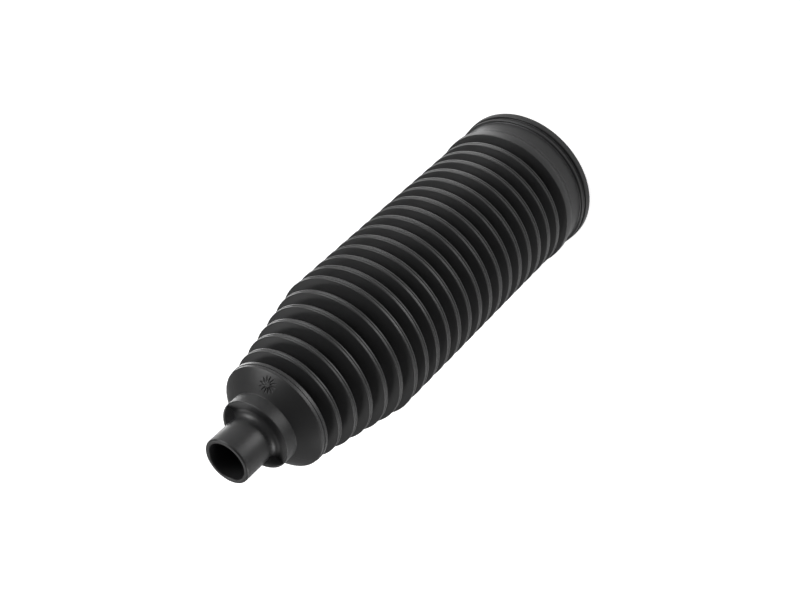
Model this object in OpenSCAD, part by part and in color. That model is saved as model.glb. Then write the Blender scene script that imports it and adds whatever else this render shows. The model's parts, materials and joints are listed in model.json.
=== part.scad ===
// Steering rack boot: one thin-walled elastomer moulding.
// It stands on the rim of its large end, with the axis of the boot along +Z.
// The large end clamps on the rack housing and the neck clamps on the tie rod.
// The wall is one closed outline, drawn as [radius, height] and turned about the axis.

/* [Large end] */
// Diameter of the bore that grips the rack housing
housing_bore_d = 55; // [52:0.2:58]
// Lead-in chamfer at the mouth of that bore
housing_lead = 0.8; // [0.3:0.1:1.2]
// Height of the rim flange
rim_h = 2.8; // [1.6:0.1:4]
// Wall thickness of the rim flange
rim_wall = 3.4; // [2.6:0.1:5]
// Width of the groove behind the flange
groove_w = 1.6; // [1:0.1:3]
// Wall thickness at the bottom of the groove
groove_wall = 2.4; // [1.4:0.1:3]
// Width of the bead between groove and clamp seat
bead_w = 1.2; // [0.8:0.1:2.5]
// Wall thickness of the bead
bead_wall = 3.1; // [2.5:0.1:4.5]
// Length of the clamp seat
seat_len = 6.6; // [5:0.1:14]
// Wall thickness of the clamp seat
seat_wall = 2; // [1.2:0.1:2.8]
// Length of the ramp from the clamp seat up to the stop shoulder
ramp_len = 2.6; // [1.5:0.1:5]
// Length of the stop shoulder
stop_len = 3.2; // [2:0.1:6]
// Wall thickness of the stop shoulder
stop_wall = 3.2; // [2.2:0.1:5]

/* [Folds] */
// Number of folds between the stop shoulder and the small shoulder
fold_count = 20; // [8:1:26]
// Distance from one fold to the next
fold_pitch = 7.25; // [6:0.05:9]
// Outside diameter of the full-size folds
fold_od = 60; // [54:0.5:66]
// Number of folds that step down towards the small end
taper_folds = 5; // [1:1:7]
// Outside diameter of the smallest fold
small_fold_od = 45; // [43:0.5:52]
// Radial depth of a fold, from its crest down to its root
fold_depth = 6; // [3:0.1:7]
// Width of the flat land on a crest
crest_land = 2.1; // [1.4:0.1:3]
// Width of the flat at a root
root_land = 0.9; // [0.6:0.1:1.6]
// Edge radius of a crest
crest_round = 0.45; // [0.2:0.05:0.8]
// Edge radius of a root
root_round = 0.35; // [0.2:0.05:0.8]
// Wall thickness of the folds, the shoulder and the collar
wall = 1.2; // [0.8:0.05:1.4]

/* [Small end] */
// Outside diameter of the land where the shoulder starts
shoulder_od = 43; // [40:0.2:46]
// Width of that land
shoulder_land = 2.8; // [1.6:0.1:4]
// Height of the shoulder, from its land up to the collar
shoulder_h = 5.6; // [3:0.1:7]
// Crown of the shoulder above a straight cone
shoulder_crown = 0.2; // [0.05:0.05:1]
// Outside diameter of the collar
collar_od = 28.4; // [26:0.2:32]
// Length of the straight part of the collar
collar_len = 5.2; // [3:0.1:10]
// Distance from the flat front face of the collar up to the clamp seat of the neck
front_h = 3.4; // [2.8:0.1:5]
// Radius of the cove between that face and the neck
cove_round = 2.3; // [1:0.1:2.6]
// Thickness of the two webs that cross the cove where the mould halves met
web_w = 1; // [0.6:0.1:2]
// Radius of the arc of a web's edge
web_round = 8; // [7:0.1:9]
// How far below the front face that arc would touch the collar
web_drop = 2; // [1.5:0.1:2.5]
// Diameter of the bore that grips the tie rod
rod_bore_d = 15.2; // [13:0.2:18]
// Wall thickness of the neck, which is the small clamp seat
neck_wall = 1.7; // [1.2:0.1:2.4]
// Length of the clamp seat, up to the mouth
neck_len = 12.2; // [9:0.1:18]
// Depth of the fine step that ends the clamp seat
neck_step = 0.3; // [0.1:0.05:0.4]
// Outside edge radius of the mouth
mouth_round = 1.3; // [0.4:0.1:1.5]
// Inside edge radius of the mouth
mouth_inner_round = 0.3; // [0.2:0.1:0.6]

/* [Hidden] */

// Largest angle between two neighbouring points of a rounded edge
ARC_STEP = 36;
// Smallest bend of a path that gets a rounding
LEAST_BEND = 1;
// Largest share of a line that the rounding of one of its corners may take
ROUND_SHARE = 0.45;
// Number of straight lines in the curve of a crown, the cove or the edge of a web
CROWN_STEPS = 6;
// Number of sides in the preview of the turned shape
$fn = 144;

// Edge radii of the large end
rim_round = 0.5;
groove_round = 0.25;
bead_round = 0.45;
seat_fillet = 0.9;
ramp_round = 2.2;
// Edge radius of the corners that are moulded sharp
sharp_round = 0.15;
// Depth of the fine step round the middle of the shoulder land, where two mould parts met
land_step = 0.2;

// Radii of the large end
housing_r = housing_bore_d / 2;
rim_r = housing_r + rim_wall;
groove_r = housing_r + groove_wall;
bead_r = housing_r + bead_wall;
seat_r = housing_r + seat_wall;
stop_r = housing_r + stop_wall;

// Heights of the large end, counted up from the face of the rim
groove_z = rim_h;
bead_z = groove_z + groove_w;
seat_z = bead_z + bead_w;
ramp_z = seat_z + seat_len;
stop_z = ramp_z + ramp_len;
folds_z = stop_z + stop_len;

// Step in radius from one fold of the taper to the next
taper_step = (fold_od - small_fold_od) / 2 / taper_folds;

// Radius of fold i and height of its middle, counted from the large end
function fold_r(i) = fold_od / 2 - taper_step * max(0, i - (fold_count - 1 - taper_folds));
function fold_z(i) = folds_z + (i + 1) * fold_pitch - crest_land / 2;

// Heights of the small end
land_z = fold_z(fold_count) - shoulder_land / 2;
shoulder_z = land_z + shoulder_land;
collar_z = shoulder_z + shoulder_h;
front_z = collar_z + collar_len;
neck_z = front_z + front_h;
mouth_z = neck_z + neck_len;

// Radii of the small end
rod_r = rod_bore_d / 2;
neck_r = rod_r + neck_wall;
collar_r = collar_od / 2;
shoulder_r = shoulder_od / 2;

function unit(v) = v / norm(v);
function left(v) = [-v[1], v[0]];
function turned(v, a) = [v[0] * cos(a) - v[1] * sin(a), v[0] * sin(a) + v[1] * cos(a)];
function point(p) = [p[0], p[1]];

// The arc of radius r that rounds corner b between a and c, with no more than the room there
function corner_arc(a, b, c, r) =
    let (
        into = unit(b - a),
        out = unit(c - b),
        side = sign(left(into) * out),
        bend = acos(max(-1, min(1, into * out)))
    )
    bend < LEAST_BEND ? [b] :
    let (
        reach = min(r * tan(bend / 2), ROUND_SHARE * min(norm(b - a), norm(c - b))),
        arm = side * reach / tan(bend / 2) * left(into),
        centre = b - into * reach + arm,
        steps = ceil(bend / ARC_STEP)
    )
    [for (k = [0 : steps]) centre - turned(arm, side * bend * k / steps)];

// A path of [radius, height, edge radius] with its corners rounded
function rounded(path) =
    let (last = len(path) - 1)
    [
        for (i = [0 : last])
            let (b = point(path[i]))
            if (i == 0 || i == last || path[i][2] == 0)
                b
            else
                each corner_arc(point(path[i - 1]), b, point(path[i + 1]), path[i][2])
    ];

// The points of a crowned line from a to b, its two ends left out. A crown below 0 is a hollow.
function crowned(a, b, crown) =
    let (
        chord = norm(b - a),
        radius = (chord * chord / 4 + crown * crown) / (2 * crown),
        centre = (a + b) / 2 + left(unit(b - a)) * (radius - crown),
        sweep = 2 * asin(chord / 2 / radius)
    )
    [for (k = [1 : CROWN_STEPS - 1]) centre + turned(a - centre, sweep * k / CROWN_STEPS)];

// The corner at b, moved in to the left of the path by a depth
function inner_corner(a, b, c, depth) =
    let (n = left(unit(b - a)), m = left(unit(c - b)))
    b + depth * (n + m) / (1 + n * m);

// Where the line through a and b meets the line through c and d
function crossing(a, b, c, d) = a + (b - a) * ((c - a) * left(d - c)) / ((b - a) * left(d - c));

// The inside of the thin wall: the outer path moved in by the wall thickness. Where a narrow
// land has no width left inside, its two corners become the one where its flanks meet.
function inner_path(path) =
    let (
        last = len(path) - 1,
        p = [for (q = path) point(q)],
        moved = [
            for (i = [0 : last])
                i == 0 ? p[0] + wall * left(unit(p[1] - p[0])) :
                i == last ? p[last] + wall * left(unit(p[last] - p[last - 1])) :
                inner_corner(p[i - 1], p[i], p[i + 1], wall)
        ],
        closed = [for (i = [0 : last - 1]) (moved[i + 1] - moved[i]) * (p[i + 1] - p[i]) <= 0]
    )
    [
        for (i = [0 : last])
            let (
                inward = i > 0 && i < last && left(p[i] - p[i - 1]) * (p[i + 1] - p[i]) > 0,
                edge = inward ? max(path[i][2] - wall, sharp_round) : path[i][2] + wall,
                r = path[i][2] == 0 ? 0 : edge,
                meet = i > 0 && i < last - 1 && closed[i]
            )
            if (meet)
                let (q = crossing(moved[i - 1], moved[i], moved[i + 1], moved[i + 2]))
                [q[0], q[1], r]
            else if (i == 0 || !closed[i - 1])
                [moved[i][0], moved[i][1], r]
    ];

// Outside of the large end, from the face of the rim up to the stop shoulder
large_end = [
    [rim_r, 0, 0],
    [rim_r, groove_z, rim_round],
    [groove_r, groove_z, groove_round],
    [groove_r, bead_z, groove_round],
    [bead_r, bead_z, bead_round],
    [bead_r, seat_z, bead_round],
    [seat_r, seat_z, seat_fillet],
    [seat_r, ramp_z, ramp_round],
    [stop_r, stop_z, ramp_round]
];

// The two corners of the root between crests of radius a and b
function root(a, b, z) =
    let (r = (a + b) / 2 - fold_depth)
    [[r, z - root_land / 2, root_round], [r, z + root_land / 2, root_round]];

// Outside of the folds, from the edge of the stop shoulder up to the shoulder land
folds = [
    [stop_r, folds_z, crest_round],
    for (i = [0 : fold_count - 1])
        let (
            r = fold_r(i),
            z = fold_z(i),
            before = i == 0 ? fold_od / 2 : fold_r(i - 1)
        )
        each concat(
            root(before, r, z - fold_pitch / 2),
            [[r, z - crest_land / 2, crest_round], [r, z + crest_land / 2, crest_round]]
        ),
    each root(fold_r(fold_count - 1), shoulder_r, fold_z(fold_count - 0.5))
];

// Outside of the small end, from the shoulder land up to the collar's front edge
shoulder_top = [shoulder_r - land_step, shoulder_z];
collar_foot = [collar_r, collar_z];
collar_edge = [collar_r, front_z];
function small_end(step) = [
    [shoulder_r, land_z, crest_round],
    each step,
    [shoulder_top[0], shoulder_top[1], sharp_round],
    for (q = crowned(shoulder_top, collar_foot, shoulder_crown)) [q[0], q[1], 0],
    [collar_foot[0], collar_foot[1], sharp_round],
    [collar_edge[0], collar_edge[1], crest_round]
];

// The fine step of the shoulder land, which only the outside has
mould_step = [
    [shoulder_r, fold_z(fold_count), 0],
    [shoulder_r - land_step, fold_z(fold_count), 0]
];

// The cove, a quarter of a circle from the front face of the collar up to the foot of the neck
foot_r = neck_r - neck_step;
cove_start = [foot_r + cove_round, front_z];
cove_end = [foot_r, front_z + cove_round];
cove = concat(
    [cove_start],
    crowned(cove_start, cove_end, -cove_round * (1 - cos(45))),
    [cove_end]
);

// Outside of the cove and the neck
neck = [
    for (q = cove) [q[0], q[1], 0],
    [foot_r, neck_z, 0],
    [neck_r, neck_z, 0],
    [neck_r, mouth_z, mouth_round],
    [rod_r, mouth_z, mouth_inner_round]
];

// Inside of the thin wall, cut off where it meets the two bores
thin_wall = inner_path(concat(folds, small_end([]), [[cove_start[0], cove_start[1], 0]]));
last_thin = len(thin_wall) - 1;

// Height at which the line from a to b reaches radius r
function height_at(a, b, r) = a[1] + (b[1] - a[1]) * (r - a[0]) / (b[0] - a[0]);

housing_bore_end = height_at(thin_wall[0], thin_wall[1], housing_r);
rod_bore_start = height_at(thin_wall[last_thin - 1], thin_wall[last_thin], rod_r);

inside = [
    [housing_r + housing_lead, 0, 0],
    [housing_r, housing_lead, 0],
    [housing_r, housing_bore_end, sharp_round],
    for (i = [1 : last_thin - 1]) thin_wall[i],
    [rod_r, rod_bore_start, cove_round + wall],
    [rod_r, mouth_z, 0]
];

// Closed section of the wall: up the outside, over the mouth and down the inside
outside = concat(large_end, folds, small_end(mould_step), neck);
function section() =
    let (
        up = rounded(concat(outside, [[rod_r, rod_bore_start, 0]])),
        down = rounded(inside)
    )
    concat(
        [for (i = [0 : len(up) - 2]) up[i]],
        [for (i = [len(down) - 2 : -1 : 0]) down[i]]
    );

// Outline of a web. Its edge is an arc from the collar up to the neck, and it is rooted along
// the middle of the wall.
web_root = wall / 2;
web_centre = [collar_r - web_round, front_z - web_drop];
function web_outline() =
    let (
        from = asin((web_drop - crest_round) / web_round),
        to = acos((foot_r - web_root - web_centre[0]) / web_round),
        front = concat([collar_edge], cove, [[foot_r, neck_z]])
    )
    concat(
        [
            for (k = [0 : CROWN_STEPS])
                let (a = from + (to - from) * k / CROWN_STEPS)
                web_centre + web_round * [cos(a), sin(a)]
        ],
        [
            for (i = [len(front) - 2 : -1 : 1])
                inner_corner(front[i - 1], front[i], front[i + 1], web_root)
        ],
        [[collar_r - web_root, front_z - web_root]]
    );

module wall_shell() {
    rotate_extrude()
        polygon(section());
}

module web() {
    rotate([90, 0, 0])
        linear_extrude(web_w, center = true)
            polygon(web_outline());
}

module boot() {
    color([0.12, 0.12, 0.125])
        union() {
            wall_shell();
            for (side = [0, 180]) rotate([0, 0, side]) web();
        }
}

boot();
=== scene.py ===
"""Steering rack boot: a satin black elastomer bellows with its moulding marks."""

import json
import math

import bmesh
import bpy
from mathutils import Matrix, Vector

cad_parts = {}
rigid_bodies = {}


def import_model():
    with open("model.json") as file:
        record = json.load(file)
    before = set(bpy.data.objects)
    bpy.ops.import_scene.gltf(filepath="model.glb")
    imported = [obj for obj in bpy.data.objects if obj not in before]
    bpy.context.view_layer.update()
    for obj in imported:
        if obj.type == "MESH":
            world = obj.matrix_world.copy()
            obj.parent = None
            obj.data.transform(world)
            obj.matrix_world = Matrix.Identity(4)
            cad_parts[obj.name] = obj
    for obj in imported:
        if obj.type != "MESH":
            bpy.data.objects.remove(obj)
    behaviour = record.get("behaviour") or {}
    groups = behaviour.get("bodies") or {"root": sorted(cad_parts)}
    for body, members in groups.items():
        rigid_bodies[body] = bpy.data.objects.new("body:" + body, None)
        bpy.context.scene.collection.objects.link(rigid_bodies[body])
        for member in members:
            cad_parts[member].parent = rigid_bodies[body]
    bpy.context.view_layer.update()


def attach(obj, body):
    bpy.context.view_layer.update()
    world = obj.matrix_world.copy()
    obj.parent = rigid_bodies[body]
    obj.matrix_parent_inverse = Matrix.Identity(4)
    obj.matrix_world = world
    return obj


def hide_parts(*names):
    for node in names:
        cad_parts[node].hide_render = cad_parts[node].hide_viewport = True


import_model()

# Metres in a millimetre. The boot's sizes are in millimetres, as in the part's source.
MM = 0.001

# Large end
HOUSING_R = 27.5
HOUSING_LEAD = 0.8
RIM_R, RIM_H = 30.9, 2.8
GROOVE_R, GROOVE_W = 29.9, 1.6
BEAD_R, BEAD_W = 30.6, 1.2
SEAT_R, SEAT_LEN = 29.5, 6.6
RAMP_LEN = 2.6
STOP_R, STOP_LEN = 30.7, 3.2

# Folds
FOLD_COUNT = 20
FOLD_PITCH = 7.25
FOLD_R = 30.0
TAPER_FOLDS = 5
TAPER_STEP = 1.5
FOLD_DEPTH = 6.0
CREST_LAND = 2.1
# The fine groove on each crest. Its floor is a share of its width.
CREST_LINE_W, CREST_LINE_FLOOR, CREST_LINE_DEPTH = 0.75, 0.4, 0.26
ROOT_LAND = 0.9
WALL = 1.2

# Small end
SHOULDER_R, SHOULDER_LAND, SHOULDER_H, SHOULDER_CROWN = 21.5, 2.8, 5.6, 0.2
LAND_STEP = 0.2
COLLAR_R, COLLAR_LEN = 14.2, 5.2
FRONT_H, COVE_ROUND = 3.4, 2.3
WEB_W, WEB_ROUND, WEB_DROP, WEB_ROOT = 1.0, 8.0, 2.0, 0.6
NECK_R, NECK_LEN, NECK_STEP = 9.3, 12.2, 0.3
ROD_R = 7.6

# Date dial on the shoulder: twelve short grooves round a point, none of them numbered
DIAL_TURN, DIAL_R, DIAL_Z, DIAL_CURVE = -31.5, 17.9, 173.28, 28.9
STROKES, STROKE_RING = 12, 2.05
STROKE_LEN, STROKE_W, STROKE_DEPTH = 2.7, 0.75, 0.42
STROKE_SIDES, STROKE_RINGS = 12, 8

# Edge radii
CREST_ROUND = 0.45
ROOT_ROUND = 0.35
SHARP_ROUND = 0.15
STEP_ROUND = 0.1
RIM_ROUND = 0.5
FOOT_ROUND = 0.35
GROOVE_ROUND = 0.25
BEAD_ROUND = 0.45
SEAT_FILLET = 0.9
RAMP_ROUND = 2.2
MOUTH_ROUND = 1.3
MOUTH_INNER_ROUND = 0.4

# Heights, counted up from the face of the rim
GROOVE_Z = RIM_H
BEAD_Z = GROOVE_Z + GROOVE_W
SEAT_Z = BEAD_Z + BEAD_W
RAMP_Z = SEAT_Z + SEAT_LEN
STOP_Z = RAMP_Z + RAMP_LEN
FOLDS_Z = STOP_Z + STOP_LEN


def fold_z(i):
    """Height of the middle of fold i, counted from the large end."""
    return FOLDS_Z + (i + 1) * FOLD_PITCH - CREST_LAND / 2


LAND_Z = fold_z(FOLD_COUNT) - SHOULDER_LAND / 2
SHOULDER_Z = LAND_Z + SHOULDER_LAND
COLLAR_Z = SHOULDER_Z + SHOULDER_H
FRONT_Z = COLLAR_Z + COLLAR_LEN
NECK_Z = FRONT_Z + FRONT_H
MOUTH_Z = NECK_Z + NECK_LEN

# Fineness of the mesh
SEGMENTS = 96
OUTER_ARC_STEP = 18.0
INNER_ARC_STEP = 36.0
LEAST_BEND = 1.0
# How far past the middle of a root its land is drawn while its corners are rounded
PAST_ROOT = 1.8
ROUND_SHARE = 0.45
CROWN_STEPS = 8
WEB_STEPS = 16
SMOOTH_ANGLE = 32.0
# Radius of the circle that the outline is swept round, which drops out of the result
SWEEP_R = 10.0
WELD = 0.002

# Surface: convex edges are painted paler, partly as wear and partly as a painted highlight, from
# the first of these bends in degrees to the second
EDGE_WEAR_AND_HIGHLIGHT_BENDS = (3.0, 9.0)
UNEVENNESS, UNEVEN_SCALE, UNEVEN_DETAIL = 0.1, 38.0, 2.0

# Marks on the points of the outlines, by which the tree tells the lines apart
OUTSIDE, INSIDE, END, WEB = range(4)


def corner_arc(a, b, c, radius, arc_step):
    """The points that round corner b between a and c, with no more than the room there."""
    into, out = (b - a).normalized(), (c - b).normalized()
    bend = into.angle(out)
    if math.degrees(bend) < LEAST_BEND:
        return [b]
    side = 1.0 if into.x * out.y - into.y * out.x > 0 else -1.0
    room = ROUND_SHARE * min((b - a).length, (c - b).length)
    reach = min(radius * math.tan(bend / 2), room)
    arm = side * reach / math.tan(bend / 2) * Vector((-into.y, into.x))
    centre = b - into * reach + arm
    steps = math.ceil(math.degrees(bend) / arc_step)
    return [centre - Matrix.Rotation(side * bend * k / steps, 2) @ arm for k in range(steps + 1)]


def rounded(path, arc_step):
    """A path of (radius, height, edge radius) with its corners rounded."""
    points = [Vector(p[:2]) for p in path]
    out = [points[0]]
    for i in range(1, len(path) - 1):
        if path[i][2]:
            out += corner_arc(points[i - 1], points[i], points[i + 1], path[i][2], arc_step)
        else:
            out.append(points[i])
    return out + [points[-1]]


def crowned(a, b, crown, steps):
    """The points of a crowned line from a to b, its two ends left out."""
    a, b = Vector(a), Vector(b)
    chord = (b - a).length
    radius = (chord * chord / 4 + crown * crown) / (2 * crown)
    side = Vector((a.y - b.y, b.x - a.x)) / chord
    centre = (a + b) / 2 + side * (radius - crown)
    sweep = 2 * math.asin(chord / 2 / radius)
    turns = (Matrix.Rotation(sweep * k / steps, 2) for k in range(1, steps))
    return [(*(centre + turn @ (a - centre)), 0) for turn in turns]


def inner_path(path):
    """The inside of the thin wall: the outer path moved to its left by the wall thickness."""
    points = [Vector(p[:2]) for p in path]
    moved = []
    for i, point in enumerate(points):
        before, after = points[max(i - 1, 0)], points[min(i + 1, len(points) - 1)]
        into = (point - before).normalized() if i else (after - point).normalized()
        out = (after - point).normalized() if i < len(points) - 1 else into
        n, m = Vector((-into.y, into.x)), Vector((-out.y, out.x))
        place = point + WALL * (n + m) / (1 + n.dot(m))
        inward = n.dot(out) > 0
        edge = max(path[i][2] - WALL, SHARP_ROUND) if inward else path[i][2] + WALL
        moved.append((place.x, place.y, edge if path[i][2] else 0))
    return moved


def height_at(a, b, radius):
    """Height at which the line from a to b reaches a radius."""
    return a[1] + (b[1] - a[1]) * (radius - a[0]) / (b[0] - a[0])


def ended(points, first=None, last=None):
    """A path whose first or last point is moved along its land to another height."""
    if first is not None:
        points[0] = Vector((points[0].x, first))
    if last is not None:
        points[-1] = Vector((points[-1].x, last))
    return points


def lined(points):
    """A fold's outside with a fine groove along the middle of its crest's land."""
    k = next(i for i, point in enumerate(points) if point.y > 0)
    a, b = points[k - 1], points[k]
    line = []
    floor = CREST_LINE_FLOOR / 2
    for share, drop in ((-0.5, 0), (-floor, 1), (floor, 1), (0.5, 0)):
        y = share * CREST_LINE_W
        point = a.lerp(b, (y - a.y) / (b.y - a.y))
        line.append(Vector((point.x - drop * CREST_LINE_DEPTH, y)))
    return points[:k] + line + points[k:]


def fold_outline():
    """Outside and inside of one fold, from root to root, about the middle of its crest."""
    root, half = FOLD_R - FOLD_DEPTH, FOLD_PITCH / 2
    outside = [
        (root, -half - PAST_ROOT, 0),
        (root, -half + ROOT_LAND / 2, ROOT_ROUND),
        (FOLD_R, -CREST_LAND / 2, CREST_ROUND),
        (FOLD_R, CREST_LAND / 2, CREST_ROUND),
        (root, half - ROOT_LAND / 2, ROOT_ROUND),
        (root, half + PAST_ROOT, 0),
    ]
    return (
        ended(lined(rounded(outside, OUTER_ARC_STEP)), -half, half),
        ended(rounded(inner_path(outside), INNER_ARC_STEP), -half, half),
    )


def large_end_outline():
    """The large end, from the root of its first fold round the rim and back inside."""
    root, z = FOLD_R - FOLD_DEPTH, fold_z(-0.5)
    flank = [
        (STOP_R, STOP_Z, 0),
        (STOP_R, FOLDS_Z, CREST_ROUND),
        (root, z - ROOT_LAND / 2, ROOT_ROUND),
        (root, z + PAST_ROOT, 0),
    ]
    thin = inner_path(flank)
    bore_end = height_at(thin[1], thin[2], HOUSING_R)
    outside = flank[::-1][:3] + [
        (STOP_R, STOP_Z, RAMP_ROUND),
        (SEAT_R, RAMP_Z, RAMP_ROUND),
        (SEAT_R, SEAT_Z, SEAT_FILLET),
        (BEAD_R, SEAT_Z, BEAD_ROUND),
        (BEAD_R, BEAD_Z, BEAD_ROUND),
        (GROOVE_R, BEAD_Z, GROOVE_ROUND),
        (GROOVE_R, GROOVE_Z, GROOVE_ROUND),
        (RIM_R, GROOVE_Z, RIM_ROUND),
        (RIM_R, 0, FOOT_ROUND),
        (HOUSING_R + HOUSING_LEAD, 0, SHARP_ROUND),
        (HOUSING_R, HOUSING_LEAD, SHARP_ROUND),
        (HOUSING_R, bore_end, SHARP_ROUND),
        thin[2],
        thin[3],
    ]
    return ended(rounded(outside, OUTER_ARC_STEP), z, z)


def cove():
    """The cove from the front face of the collar up to the foot of the neck."""
    foot = NECK_R - NECK_STEP
    start, end = (foot + COVE_ROUND, FRONT_Z, 0), (foot, FRONT_Z + COVE_ROUND, 0)
    depth = COVE_ROUND * (1 - math.sqrt(0.5))
    return [start, *crowned(start[:2], end[:2], -depth, CROWN_STEPS), end]


def small_end_outside():
    """Outside of the small end, from root to mouth, as (radius, height, edge radius)."""
    last_r = FOLD_R - TAPER_STEP * TAPER_FOLDS
    root, z = (last_r + SHOULDER_R) / 2 - FOLD_DEPTH, fold_z(FOLD_COUNT - 0.5)
    shoulder_top = (SHOULDER_R - LAND_STEP, SHOULDER_Z)
    collar_foot = (COLLAR_R, COLLAR_Z)
    below = [
        (root, z - PAST_ROOT, 0),
        (root, z + ROOT_LAND / 2, ROOT_ROUND),
        (SHOULDER_R, LAND_Z, CREST_ROUND),
    ]
    step = [(SHOULDER_R, fold_z(FOLD_COUNT), 0), (SHOULDER_R - LAND_STEP, fold_z(FOLD_COUNT), 0)]
    nose = [
        (*shoulder_top, SHARP_ROUND),
        *crowned(shoulder_top, collar_foot, SHOULDER_CROWN, CROWN_STEPS),
        (*collar_foot, SHARP_ROUND),
        (COLLAR_R, FRONT_Z, CREST_ROUND),
    ]
    neck = [
        *cove(),
        (NECK_R - NECK_STEP, NECK_Z, STEP_ROUND),
        (NECK_R, NECK_Z, STEP_ROUND),
        (NECK_R, MOUTH_Z, MOUTH_ROUND),
        (ROD_R, MOUTH_Z, MOUTH_INNER_ROUND),
    ]
    return below, step, nose, neck


def small_end_outline():
    """The small end, from the root of its last fold over the mouth and back inside."""
    below, step, nose, neck = small_end_outside()
    thin = inner_path(below + nose + neck[:1])
    bore_start = (ROD_R, FRONT_Z - WALL, COVE_ROUND + WALL)
    outside = rounded(below + step + nose + neck + [bore_start], OUTER_ARC_STEP)
    inside = rounded([neck[-1], bore_start, *thin[-2::-1]], INNER_ARC_STEP)
    z = fold_z(FOLD_COUNT - 0.5)
    return ended(outside[:-1] + inside[1:], z, z)


def web_outline():
    """Outline of one of the two webs that cross the cove, closed along the middle of the wall."""
    foot = NECK_R - NECK_STEP
    middle = Vector((COLLAR_R - WEB_ROUND, FRONT_Z - WEB_DROP))
    first = math.asin((WEB_DROP - CREST_ROUND) / WEB_ROUND)
    last = math.acos((foot - WEB_ROOT - middle.x) / WEB_ROUND)
    angles = (first + (last - first) * k / WEB_STEPS for k in range(WEB_STEPS + 1))
    edge = [middle + WEB_ROUND * Vector((math.cos(a), math.sin(a))) for a in angles]
    centre, reach = Vector((foot + COVE_ROUND, FRONT_Z + COVE_ROUND)), COVE_ROUND + WEB_ROOT
    angles = (math.radians(180 + 90 * k / WEB_STEPS) for k in range(WEB_STEPS + 1))
    root = [centre + reach * Vector((math.cos(a), math.sin(a))) for a in angles]
    corner = Vector((COLLAR_R - WEB_ROOT, FRONT_Z - WEB_ROOT))
    return edge + root + [corner, edge[0]]


def line_mesh(name, strips, marks):
    """A mesh of lines in metres, with a number kept on the points of each line."""
    mesh = bpy.data.meshes.new(name)
    points, edges, values = [], [], []
    for strip, mark in zip(strips, marks):
        first = len(points)
        points += [(p[0] * MM, p[1] * MM, 0) for p in strip]
        edges += [(i, i + 1) for i in range(first, len(points) - 1)]
        values += [mark] * len(strip)
    mesh.from_pydata(points, edges, [])
    mesh.attributes.new("part", "INT", "POINT").data.foreach_set("value", values)
    return mesh


class Nodes:
    """A node tree with short calls to fill it."""

    def __init__(self, tree):
        self.tree = tree

    def add(self, kind, values=None, **settings):
        """A node of that kind. values fills its inputs with sockets or constants."""
        node = self.tree.nodes.new(kind)
        for key, value in settings.items():
            setattr(node, key, value)
        for key, value in (values or {}).items():
            if isinstance(value, bpy.types.NodeSocket):
                self.tree.links.new(value, node.inputs[key])
            else:
                node.inputs[key].default_value = value
        return node

    def math(self, operation, *values, **settings):
        """The result of a Math node."""
        values = dict(enumerate(values))
        return self.add("ShaderNodeMath", values, operation=operation, **settings).outputs[0]

    def vector(self, x=0.0, y=0.0, z=0.0):
        """A vector made of three numbers or sockets."""
        return self.add("ShaderNodeCombineXYZ", {0: x, 1: y, 2: z}).outputs[0]

    def mapped(self, value, old=(0.0, 1.0), new=(0.0, 1.0), **settings):
        """A value taken from an old range to a new one."""
        return self.add("ShaderNodeMapRange", {
            "Value": value,
            "From Min": old[0],
            "From Max": old[1],
            "To Min": new[0],
            "To Max": new[1],
        }, **settings).outputs[0]


class GrowTree(Nodes):
    """A Geometry Nodes tree with named inputs."""

    def __init__(self, name, inputs):
        super().__init__(bpy.data.node_groups.new(name, "GeometryNodeTree"))
        face = self.tree.interface
        face.new_socket("Geometry", in_out="OUTPUT", socket_type="NodeSocketGeometry")
        face.new_socket("Geometry", in_out="INPUT", socket_type="NodeSocketGeometry")
        self.ids = {}
        for label, kind in inputs.items():
            socket = face.new_socket(label, in_out="INPUT", socket_type=f"NodeSocket{kind}")
            self.ids[label] = socket.identifier
        self.input = self.tree.nodes.new("NodeGroupInput").outputs
        self.output = self.tree.nodes.new("NodeGroupOutput").inputs[0]

    def named(self, name, kind="FLOAT"):
        """A named attribute's value."""
        node = self.add("GeometryNodeInputNamedAttribute", {"Name": name}, data_type=kind)
        return node.outputs["Attribute"]

    def position(self):
        """The X, Y and Z of each point."""
        place = self.add("GeometryNodeInputPosition").outputs[0]
        return self.add("ShaderNodeSeparateXYZ", {0: place}).outputs

    def store(self, geometry, name, value):
        """The geometry with a value kept on its points."""
        return self.add("GeometryNodeStoreNamedAttribute", {
            "Geometry": geometry, "Name": name, "Value": value,
        }).outputs[0]

    def moved(self, geometry, **where):
        """The geometry with its points moved by an Offset or put at a Position."""
        return self.add("GeometryNodeSetPosition", {"Geometry": geometry, **where}).outputs[0]

    def welded(self, geometry):
        """The geometry with the points that lie on each other merged."""
        return self.add("GeometryNodeMergeByDistance", {
            "Geometry": geometry, "Distance": self.input["Weld"],
        }).outputs[0]

    def split(self, geometry, mark):
        """The lines with that mark or a higher one, and the others."""
        picked = self.math("GREATER_THAN", self.named("part", "INT"), mark - 0.5)
        apart = self.add("GeometryNodeSeparateGeometry", {
            "Geometry": geometry, "Selection": picked,
        }).outputs
        return apart["Selection"], apart["Inverted"]

    def swept(self, curve, outline, **settings):
        """An outline swept along a curve, with its faces outwards."""
        profile = self.add("GeometryNodeMeshToCurve", {0: outline}).outputs[0]
        swept = self.add("GeometryNodeCurveToMesh", {
            "Curve": curve, "Profile Curve": profile, **settings,
        }).outputs[0]
        return self.add("GeometryNodeFlipFaces", {0: swept}).outputs[0]

    def finish(self, geometry, material):
        """Ends the tree in Realize Instances and Set Material."""
        real = self.add("GeometryNodeRealizeInstances", {0: geometry}).outputs[0]
        made = self.add("GeometryNodeSetMaterial", {"Geometry": real, "Material": material})
        self.tree.links.new(made.outputs[0], self.output)


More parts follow.
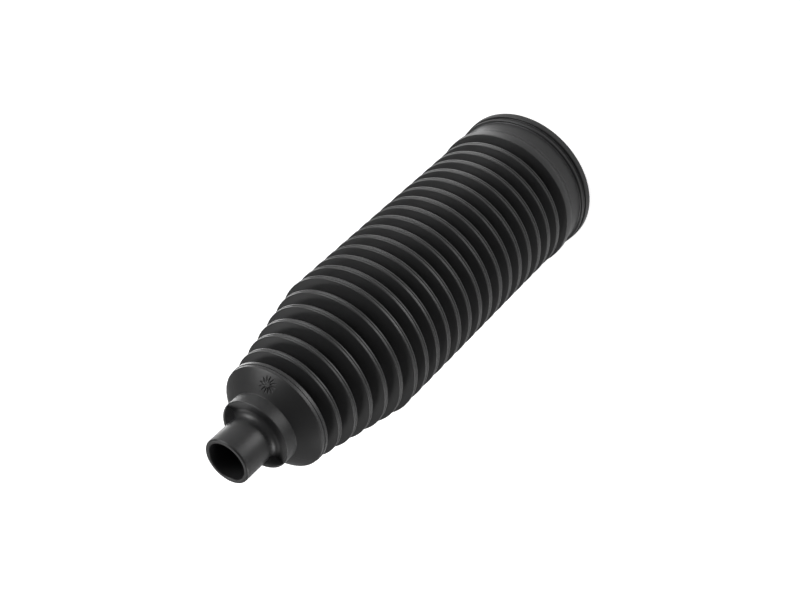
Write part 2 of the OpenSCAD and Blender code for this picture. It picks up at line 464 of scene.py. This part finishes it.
def grow(name, mesh, tree, values):
    """Runs a tree on a mesh with these input values and returns the result as a plain object."""
    source = bpy.data.objects.new(name + "_source", mesh)
    bpy.context.scene.collection.objects.link(source)
    modifier = source.modifiers.new("grow", "NODES")
    modifier.node_group = tree.tree
    for label, value in values.items():
        modifier[tree.ids[label]] = value
    graph = bpy.context.evaluated_depsgraph_get()
    made = bpy.data.meshes.new_from_object(source.evaluated_get(graph), depsgraph=graph)
    bpy.data.objects.remove(source)
    made.name = name
    piece = bpy.data.objects.new(name, made)
    bpy.context.scene.collection.objects.link(piece)
    return piece


def face_outwards(piece):
    """Merges doubles and turns every face outwards."""
    work = bmesh.new()
    work.from_mesh(piece.data)
    bmesh.ops.remove_doubles(work, verts=work.verts, dist=WELD * MM)
    bmesh.ops.recalc_face_normals(work, faces=work.faces)
    work.to_mesh(piece.data)
    work.free()


def fold_row(t, fold):
    """One fold on each point of a line up the axis."""
    # How far up the flank each point lies, and on which side of the crest
    place, inside = t.position(), t.named("part", "INT")
    root = t.math("SUBTRACT", t.input["Fold Radius"], t.input["Fold Depth"])
    root = t.math("SUBTRACT", root, t.math("MULTIPLY", inside, t.input["Wall"]))
    lift = t.math("DIVIDE", t.math("SUBTRACT", place[0], root), t.input["Fold Depth"])
    fold = t.store(fold, "lift", lift)
    fold = t.store(fold, "side", t.math("SIGN", place[1]))

    line = t.add("GeometryNodeMeshLine", {
        "Count": t.input["Fold Count"],
        "Start Location": t.vector(y=t.input["First Fold"]),
        "Offset": t.vector(y=t.input["Fold Pitch"]),
    }).outputs[0]
    line = t.store(line, "number", t.add("GeometryNodeInputIndex").outputs[0])
    row = t.add("GeometryNodeInstanceOnPoints", {"Points": line, "Instance": fold}).outputs[0]
    return t.add("GeometryNodeRealizeInstances", {0: row}).outputs[0]


def taper(t, row):
    """The row with its last folds stepped down and each root midway between its two folds."""
    number, lift, side = t.named("number"), t.named("lift"), t.named("side")
    count = t.input["Fold Count"]
    full = t.math("SUBTRACT", t.math("SUBTRACT", count, 1), t.input["Taper Folds"])

    def less(n):
        """How much less than the full radius fold n has. The one past the last is the shoulder."""
        steps = t.math("MAXIMUM", t.math("SUBTRACT", n, full), 0)
        by_rule = t.math("MULTIPLY", steps, t.input["Taper Step"])
        past_last = t.math("GREATER_THAN", n, t.math("SUBTRACT", count, 0.5))
        kept = t.math("MULTIPLY", by_rule, t.math("SUBTRACT", 1, past_last))
        return t.math("ADD", kept, t.math("MULTIPLY", t.input["Shoulder Step"], past_last))

    own, beside = less(number), less(t.math("ADD", number, side))
    midway = t.math("MULTIPLY", t.math("ADD", own, beside), 0.5)
    at_crest = t.math("MULTIPLY", own, lift)
    at_root = t.math("MULTIPLY", midway, t.math("SUBTRACT", 1, lift))
    inwards = t.math("MULTIPLY", t.math("ADD", at_crest, at_root), -1)
    return t.moved(row, Offset=t.vector(inwards))


def turned_wall(t, ends, row):
    """The two ends and the row of folds, joined to one closed outline and turned round the axis."""
    joined = t.add("GeometryNodeJoinGeometry")
    for lines in (ends, row):
        t.tree.links.new(lines, joined.inputs[0])
    whole = t.welded(joined.outputs[0])
    place = t.position()
    across = t.math("SUBTRACT", place[0], t.input["Sweep Radius"])
    whole = t.moved(whole, Position=t.vector(across, t.math("MULTIPLY", place[1], -1)))
    circle = t.add("GeometryNodeCurvePrimitiveCircle", {
        "Resolution": t.input["Segments"], "Radius": t.input["Sweep Radius"],
    }, mode="RADIUS").outputs[0]
    return t.swept(circle, whole)


def uneven(t, wall):
    """The wall moved in and out by a hair, as a moulding is never perfectly even."""
    place = t.add("GeometryNodeInputPosition").outputs[0]
    noise = t.add("ShaderNodeTexNoise", {
        "Vector": place, "Scale": UNEVEN_SCALE, "Detail": UNEVEN_DETAIL,
    }, noise_dimensions="3D").outputs[0]
    amount = t.math("MULTIPLY", t.math("SUBTRACT", noise, 0.5), t.input["Unevenness"])
    out = t.add("GeometryNodeInputNormal").outputs[0]
    shift = t.add("ShaderNodeVectorMath", {0: out, "Scale": amount}, operation="SCALE").outputs[0]
    return t.moved(wall, Offset=shift)


def add_webs(t, wall, outline):
    """The wall with two webs on the sides of the collar, in one mass with it."""
    place = t.position()
    laid = t.vector(place[0], t.math("MULTIPLY", place[1], -1))
    outline = t.moved(t.welded(outline), Position=laid)
    half = t.math("MULTIPLY", t.input["Web Thickness"], 0.5)
    across = t.add("GeometryNodeCurvePrimitiveLine", {
        "Start": t.vector(y=t.math("MULTIPLY", half, -1)), "End": t.vector(y=half),
    }).outputs[0]
    web = t.swept(across, outline, **{"Fill Caps": True})
    other = t.add("GeometryNodeTransform", {
        "Geometry": web, "Rotation": (0, 0, math.pi),
    }).outputs[0]
    union = t.add("GeometryNodeMeshBoolean", operation="UNION", solver="MANIFOLD")
    for shape in (other, web, wall):
        t.tree.links.new(shape, union.inputs["Mesh 2"])
    return union.outputs[0]


def cut_dial(t, wall):
    """The wall less the dial's grooves: long drops round a point, bent as the shoulder is."""
    ring = t.add("GeometryNodeMeshCircle", {
        "Vertices": t.input["Strokes"], "Radius": t.input["Stroke Ring"],
    }).outputs[0]
    share = t.math("DIVIDE", t.add("GeometryNodeInputIndex").outputs[0], t.input["Strokes"])
    angle = t.vector(z=t.math("MULTIPLY", share, 2 * math.pi))
    turn = t.add("FunctionNodeEulerToRotation", {0: angle}).outputs[0]
    drop = t.add("GeometryNodeMeshUVSphere", {
        "Segments": STROKE_SIDES, "Rings": STROKE_RINGS, "Radius": 1.0,
    }).outputs[0]
    drop = t.add("GeometryNodeTransform", {
        "Geometry": drop, "Scale": t.input["Stroke Size"],
    }).outputs[0]
    dial = t.add("GeometryNodeInstanceOnPoints", {
        "Points": ring, "Instance": drop, "Rotation": turn,
    }).outputs[0]
    dial = t.add("GeometryNodeRealizeInstances", {0: dial}).outputs[0]
    across = t.position()[0]
    fall = t.math("MULTIPLY", across, across)
    fall = t.math("DIVIDE", fall, t.math("MULTIPLY", t.input["Dial Curve"], -2))
    dial = t.moved(dial, Offset=t.vector(z=fall))
    facing = t.add("FunctionNodeEulerToRotation", {0: t.input["Dial Facing"]}).outputs[0]
    dial = t.add("GeometryNodeTransform", {
        "Geometry": dial, "Translation": t.input["Dial Place"], "Rotation": facing,
    }).outputs[0]
    return t.add("GeometryNodeMeshBoolean", {
        "Mesh 1": wall, "Mesh 2": dial,
    }, operation="DIFFERENCE", solver="MANIFOLD").outputs[0]


def mark_edges(t, wall):
    """The wall with its convex edges marked for paler paint, partly wear and partly a painted
    highlight, its arcs smooth and the corners beside them crisp.
    """
    bend = t.add("GeometryNodeInputMeshEdgeAngle").outputs
    outward = t.math("MULTIPLY", bend["Signed Angle"], -1)
    # The mask of convex edges, which the rubber paints paler: partly wear, partly a painted
    # highlight
    wall = t.store(wall, "edge", t.mapped(outward, (t.input["Wear And Highlight From"], t.input["Wear And Highlight Full"])))
    smooth = t.math("LESS_THAN", bend["Unsigned Angle"], t.input["Smooth Angle"])
    wall = t.add("GeometryNodeSetShadeSmooth", {"Geometry": wall}).outputs[0]
    return t.add("GeometryNodeSetShadeSmooth", {
        "Geometry": wall, "Shade Smooth": smooth,
    }, domain="EDGE").outputs[0]


def wall_tree():
    """Repeats one fold up the axis, turns the whole outline, adds the webs and cuts the dial."""
    t = GrowTree("Boot wall", {
        "Fold Count": "Int",
        "Fold Pitch": "Float",
        "First Fold": "Float",
        "Fold Radius": "Float",
        "Fold Depth": "Float",
        "Wall": "Float",
        "Taper Folds": "Int",
        "Taper Step": "Float",
        "Shoulder Step": "Float",
        "Sweep Radius": "Float",
        "Segments": "Int",
        "Web Thickness": "Float",
        "Dial Place": "Vector",
        "Dial Facing": "Vector",
        "Dial Curve": "Float",
        "Strokes": "Int",
        "Stroke Ring": "Float",
        "Stroke Size": "Vector",
        "Smooth Angle": "Float",
        "Wear And Highlight From": "Float",
        "Wear And Highlight Full": "Float",
        "Weld": "Float",
        "Unevenness": "Float",
        "Material": "Material",
    })
    web, rest = t.split(t.input["Geometry"], WEB)
    ends, fold = t.split(rest, END)
    row = taper(t, fold_row(t, fold))
    wall = add_webs(t, uneven(t, turned_wall(t, ends, row)), web)
    t.finish(mark_edges(t, cut_dial(t, wall)), t.input["Material"])
    return t


def dial_tilt():
    """How far the shoulder's face leans back from level, in radians."""
    return math.atan2(SHOULDER_H, SHOULDER_R - LAND_STEP - COLLAR_R)


def dial_place():
    """The middle of the dial, on the crown of the shoulder."""
    tilt, turn = dial_tilt(), math.radians(DIAL_TURN)
    reach = DIAL_R + SHOULDER_CROWN * math.sin(tilt)
    height = DIAL_Z + SHOULDER_CROWN * math.cos(tilt)
    return Vector((-reach * math.sin(turn), -reach * math.cos(turn), height))


def make_boot(material):
    """The boot as one closed mesh."""
    outside, inside = fold_outline()
    strips = [outside, inside, large_end_outline(), small_end_outline(), web_outline()]
    outline = line_mesh("boot_outline", strips, [OUTSIDE, INSIDE, END, END, WEB])
    piece = grow("rack_boot", outline, wall_tree(), {
        "Fold Count": FOLD_COUNT,
        "Fold Pitch": FOLD_PITCH * MM,
        "First Fold": fold_z(0) * MM,
        "Fold Radius": FOLD_R * MM,
        "Fold Depth": FOLD_DEPTH * MM,
        "Wall": WALL * MM,
        "Taper Folds": TAPER_FOLDS,
        "Taper Step": TAPER_STEP * MM,
        "Shoulder Step": (FOLD_R - SHOULDER_R) * MM,
        "Sweep Radius": SWEEP_R * MM,
        "Segments": SEGMENTS,
        "Web Thickness": WEB_W * MM,
        "Dial Place": dial_place() * MM,
        "Dial Facing": (dial_tilt(), 0.0, -math.radians(DIAL_TURN)),
        "Dial Curve": DIAL_CURVE * MM,
        "Strokes": STROKES,
        "Stroke Ring": STROKE_RING * MM,
        "Stroke Size": Vector((STROKE_LEN / 2, STROKE_W / 2, STROKE_DEPTH)) * MM,
        "Smooth Angle": math.radians(SMOOTH_ANGLE),
        "Wear And Highlight From": math.radians(EDGE_WEAR_AND_HIGHLIGHT_BENDS[0]),
        "Wear And Highlight Full": math.radians(EDGE_WEAR_AND_HIGHLIGHT_BENDS[1]),
        "Weld": WELD * MM,
        "Unevenness": UNEVENNESS * MM,
        "Material": material,
    })
    face_outwards(piece)
    return piece


# Rubber: the scales of its patterns are in waves to the metre
TONE_SCALE, TONE_DETAIL, TONE_ENDS = 60.0, 4.0, (0.3, 0.75)
TONES = [(0.0085, 0.0085, 0.009, 1), (0.012, 0.012, 0.0125, 1)]
ROUGHNESS = (0.38, 0.46)
GLOSS = 0.5
# The paler colour of convex edges and its patches: partly wear, partly a painted highlight on the
# edges
EDGE_WEAR_AND_HIGHLIGHT_COLOUR = (0.040, 0.040, 0.041, 1)
EDGE_WEAR_AND_HIGHLIGHT_SCALE, EDGE_WEAR_AND_HIGHLIGHT_DETAIL, EDGE_WEAR_AND_HIGHLIGHT_PATCHES, LEAST_EDGE_WEAR_AND_HIGHLIGHT = 240.0, 3.0, (0.3, 0.65), 0.45
GRAIN_SCALE, GRAIN_DETAIL, GRAIN_STRENGTH, GRAIN_HEIGHT = 2200.0, 2.0, 0.12, 0.05
# The parting line: its flat top and its foot, from the middle, and how far it stands out
SEAM_HALVES, SEAM_STRENGTH, SEAM_HEIGHT = (0.06, 0.2), 0.6, 0.08


def shader_of(owner):
    """The emptied node tree of a material or a world."""
    owner.use_nodes = True
    owner.node_tree.nodes.clear()
    return Nodes(owner.node_tree)


def rubber():
    """Satin black moulded rubber, painted a little paler on its convex edges as wear and as a
    painted highlight, with a fine parting line.
    """
    material = bpy.data.materials.new("satin_black_rubber")
    s = shader_of(material)
    place = s.add("ShaderNodeTexCoord").outputs["Object"]

    def noise(scale, detail):
        """A noise pattern over the piece."""
        values = {"Vector": place, "Scale": scale, "Detail": detail}
        return s.add("ShaderNodeTexNoise", values).outputs[0]

    cloud = noise(TONE_SCALE, TONE_DETAIL)
    tone = s.add("ShaderNodeValToRGB", {0: cloud})
    for stop, end, colour in zip(tone.color_ramp.elements, TONE_ENDS, TONES):
        stop.position, stop.color = end, colour
    # Convex edges painted paler in patches: partly wear, partly a painted highlight
    edge = s.add("ShaderNodeAttribute", attribute_name="edge").outputs["Fac"]
    patch = s.mapped(noise(EDGE_WEAR_AND_HIGHLIGHT_SCALE, EDGE_WEAR_AND_HIGHLIGHT_DETAIL), EDGE_WEAR_AND_HIGHLIGHT_PATCHES, (LEAST_EDGE_WEAR_AND_HIGHLIGHT, 1.0))
    colour = s.add("ShaderNodeMix", {
        "Factor": s.math("MULTIPLY", edge, patch, use_clamp=True),
        6: tone.outputs[0],
        7: EDGE_WEAR_AND_HIGHLIGHT_COLOUR,
    }, data_type="RGBA").outputs[2]
    bump = s.add("ShaderNodeBump", {
        "Height": noise(GRAIN_SCALE, GRAIN_DETAIL),
        "Strength": GRAIN_STRENGTH,
        "Distance": GRAIN_HEIGHT * MM,
    }).outputs[0]
    across = s.math("ABSOLUTE", s.add("ShaderNodeSeparateXYZ", {0: place}).outputs["Y"])
    halves = [half * MM for half in SEAM_HALVES]
    bump = s.add("ShaderNodeBump", {
        "Height": s.mapped(across, halves, (1.0, 0.0), interpolation_type="SMOOTHSTEP"),
        "Strength": SEAM_STRENGTH,
        "Distance": SEAM_HEIGHT * MM,
        "Normal": bump,
    }).outputs[0]
    skin = s.add("ShaderNodeBsdfPrincipled", {
        "Base Color": colour, "Roughness": s.mapped(cloud, new=ROUGHNESS), "Normal": bump,
    })
    skin.inputs["Specular IOR Level"].default_value = GLOSS
    s.add("ShaderNodeOutputMaterial", {"Surface": skin.outputs[0]})
    return material


# Studio light, in metres and watts. Directions are in the boot's frame, and turns are in
# degrees from the near side.
WHITE, FLOOR_COLOUR = (1, 1, 1, 1), (0.8, 0.8, 0.8, 1)
FLOOR_HALF = 4.0
FLOOR_GLOW = 0.75
# What the gloss of the boot sees of the floor, at its foot, and how soon that fades
FOOT_GLOW, GLOW_REACH = 0.64, 0.082
# Strength of the sky low down and overhead
HORIZON, ZENITH = 0.36, 0.13
BOX_DISTANCE, BOX_SIZE = 0.8, 0.42
# Each box's name, direction and power
SOFT_BOXES = [
    ("right_high", (0.76, -0.17, 0.63), 1.9),
    ("right_low", (0.91, -0.24, 0.34), 2.8),
    ("left_low", (-0.97, 0.08, 0.24), 2.7),
    ("back_high", (0.23, 0.54, 0.81), 1.3),
    ("back_left", (-0.28, 0.53, 0.80), 0.7),
]
CARD_LIFT = 0.004
# Each card's name, turn, distance from the axis, size and power
FLOOR_CARDS = [
    ("card_back", -140, 0.26, 0.16, 0.34),
    ("card_front", 15, 0.26, 0.16, 0.46),
    ("card_far", 20, 0.30, 0.10, 0.12),
    ("card_side", -95, 0.13, 0.09, 0.014),
    ("card_foot", -95, 0.07, 0.06, 0.015),
    ("card_near", -60, 0.07, 0.06, 0.013),
]

# The photograph's camera, in millimetres: which way it looks at the boot, and from how far
FOCAL_LENGTH = 72.0
SENSOR_WIDTH = 36.0
VIEW_ELEVATION = 39.0
VIEW_ROLL = -133.46
VIEW_DISTANCE = 608.8
VIEW_AIM = (-0.65, 0.0, 93.06)
# Nearest and farthest thing that the camera sees, in metres
CLIP = (0.01, 20.0)


def view_axes():
    """The camera's right, up and backward directions in the boot's frame."""
    tilt, roll = math.radians(VIEW_ELEVATION), math.radians(VIEW_ROLL)
    back = Vector((0, -math.cos(tilt), math.sin(tilt)))
    level, rise = Vector((1, 0, 0)), Vector((0, math.sin(tilt), math.cos(tilt)))
    right = level * math.cos(roll) + rise * math.sin(roll)
    up = rise * math.cos(roll) - level * math.sin(roll)
    return right, up, back


def make_camera():
    """The camera at the photograph's viewing angle."""
    right, up, back = view_axes()
    data = bpy.data.cameras.new("camera")
    data.lens, data.sensor_width = FOCAL_LENGTH, SENSOR_WIDTH
    data.clip_start, data.clip_end = CLIP
    camera = bpy.data.objects.new("camera", data)
    turn = Matrix((right, up, back)).transposed().to_4x4()
    place = Vector(VIEW_AIM) * MM + back * VIEW_DISTANCE * MM
    camera.matrix_world = Matrix.Translation(place) @ turn
    bpy.context.scene.collection.objects.link(camera)
    bpy.context.scene.camera = camera


def make_floor():
    """A plain pale floor, white to the camera, that keeps the boot's shadow."""
    material = bpy.data.materials.new("pale_floor")
    s = shader_of(material)
    rays = s.add("ShaderNodeLightPath").outputs
    direct = s.math("MULTIPLY", rays["Is Camera Ray"], FLOOR_GLOW)
    place = s.add("ShaderNodeTexCoord").outputs["Object"]
    away = s.add("ShaderNodeVectorMath", {0: place}, operation="LENGTH").outputs["Value"]
    fade = s.math("EXPONENT", s.math("MULTIPLY", away, -1 / GLOW_REACH))
    glow = s.math("MULTIPLY", fade, FOOT_GLOW)
    strength = s.math("MULTIPLY_ADD", rays["Is Glossy Ray"], glow, direct)
    lit = s.add("ShaderNodeBsdfDiffuse", {"Color": FLOOR_COLOUR}).outputs[0]
    shine = s.add("ShaderNodeEmission", {"Color": WHITE, "Strength": strength}).outputs[0]
    both = s.add("ShaderNodeAddShader", {0: lit, 1: shine}).outputs[0]
    s.add("ShaderNodeOutputMaterial", {"Surface": both})
    mesh = bpy.data.meshes.new("floor")
    corners = [(x * FLOOR_HALF, y * FLOOR_HALF, 0) for x, y in ((-1, -1), (1, -1), (1, 1), (-1, 1))]
    mesh.from_pydata(corners, [], [(0, 1, 2, 3)])
    mesh.materials.append(material)
    floor = bpy.data.objects.new("floor", mesh)
    bpy.context.scene.collection.objects.link(floor)


def make_world():
    """Soft light all round, paler low down, and white where the camera sees past the floor."""
    world = bpy.data.worlds.new("studio")
    bpy.context.scene.world = world
    s = shader_of(world)
    rays = s.add("ShaderNodeLightPath").outputs
    towards = s.add("ShaderNodeTexCoord").outputs["Generated"]
    rise = s.add("ShaderNodeSeparateXYZ", {0: towards}).outputs["Z"]
    sky = s.mapped(rise, new=(HORIZON, ZENITH))
    dim = s.add("ShaderNodeBackground", {"Color": WHITE, "Strength": sky}).outputs[0]
    white = s.add("ShaderNodeBackground", {"Color": WHITE, "Strength": 1.0}).outputs[0]
    seen = s.add("ShaderNodeMixShader", {0: rays["Is Camera Ray"], 1: dim, 2: white}).outputs[0]
    s.add("ShaderNodeOutputWorld", {0: seen})


def make_lamp(name, place, facing, size, power):
    """A square soft box at a place, out of the camera's sight."""
    data = bpy.data.lights.new(name, "AREA")
    data.shape, data.size, data.energy = "SQUARE", size, power
    lamp = bpy.data.objects.new(name, data)
    lamp.location = place
    lamp.rotation_mode = "QUATERNION"
    lamp.rotation_quaternion = (-facing).to_track_quat("Z", "Y")
    lamp.visible_camera = False
    bpy.context.scene.collection.objects.link(lamp)


def make_lamps():
    """Soft boxes round the boot, and lit cards that lie on the floor beside it."""
    for name, towards, power in SOFT_BOXES:
        towards = Vector(towards).normalized()
        place = Vector(VIEW_AIM) * MM + towards * BOX_DISTANCE
        make_lamp(name, place, -towards, BOX_SIZE, power)
    for name, turn, reach, size, power in FLOOR_CARDS:
        turn = math.radians(turn)
        place = Vector((-reach * math.sin(turn), -reach * math.cos(turn), CARD_LIFT))
        make_lamp(name, place, Vector((0, 0, 1)), size, power)


bpy.context.scene.view_settings.view_transform = "Standard"
make_camera()
make_floor()
make_world()
make_lamps()

boot = make_boot(rubber())
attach(boot, "root")
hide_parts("boot")
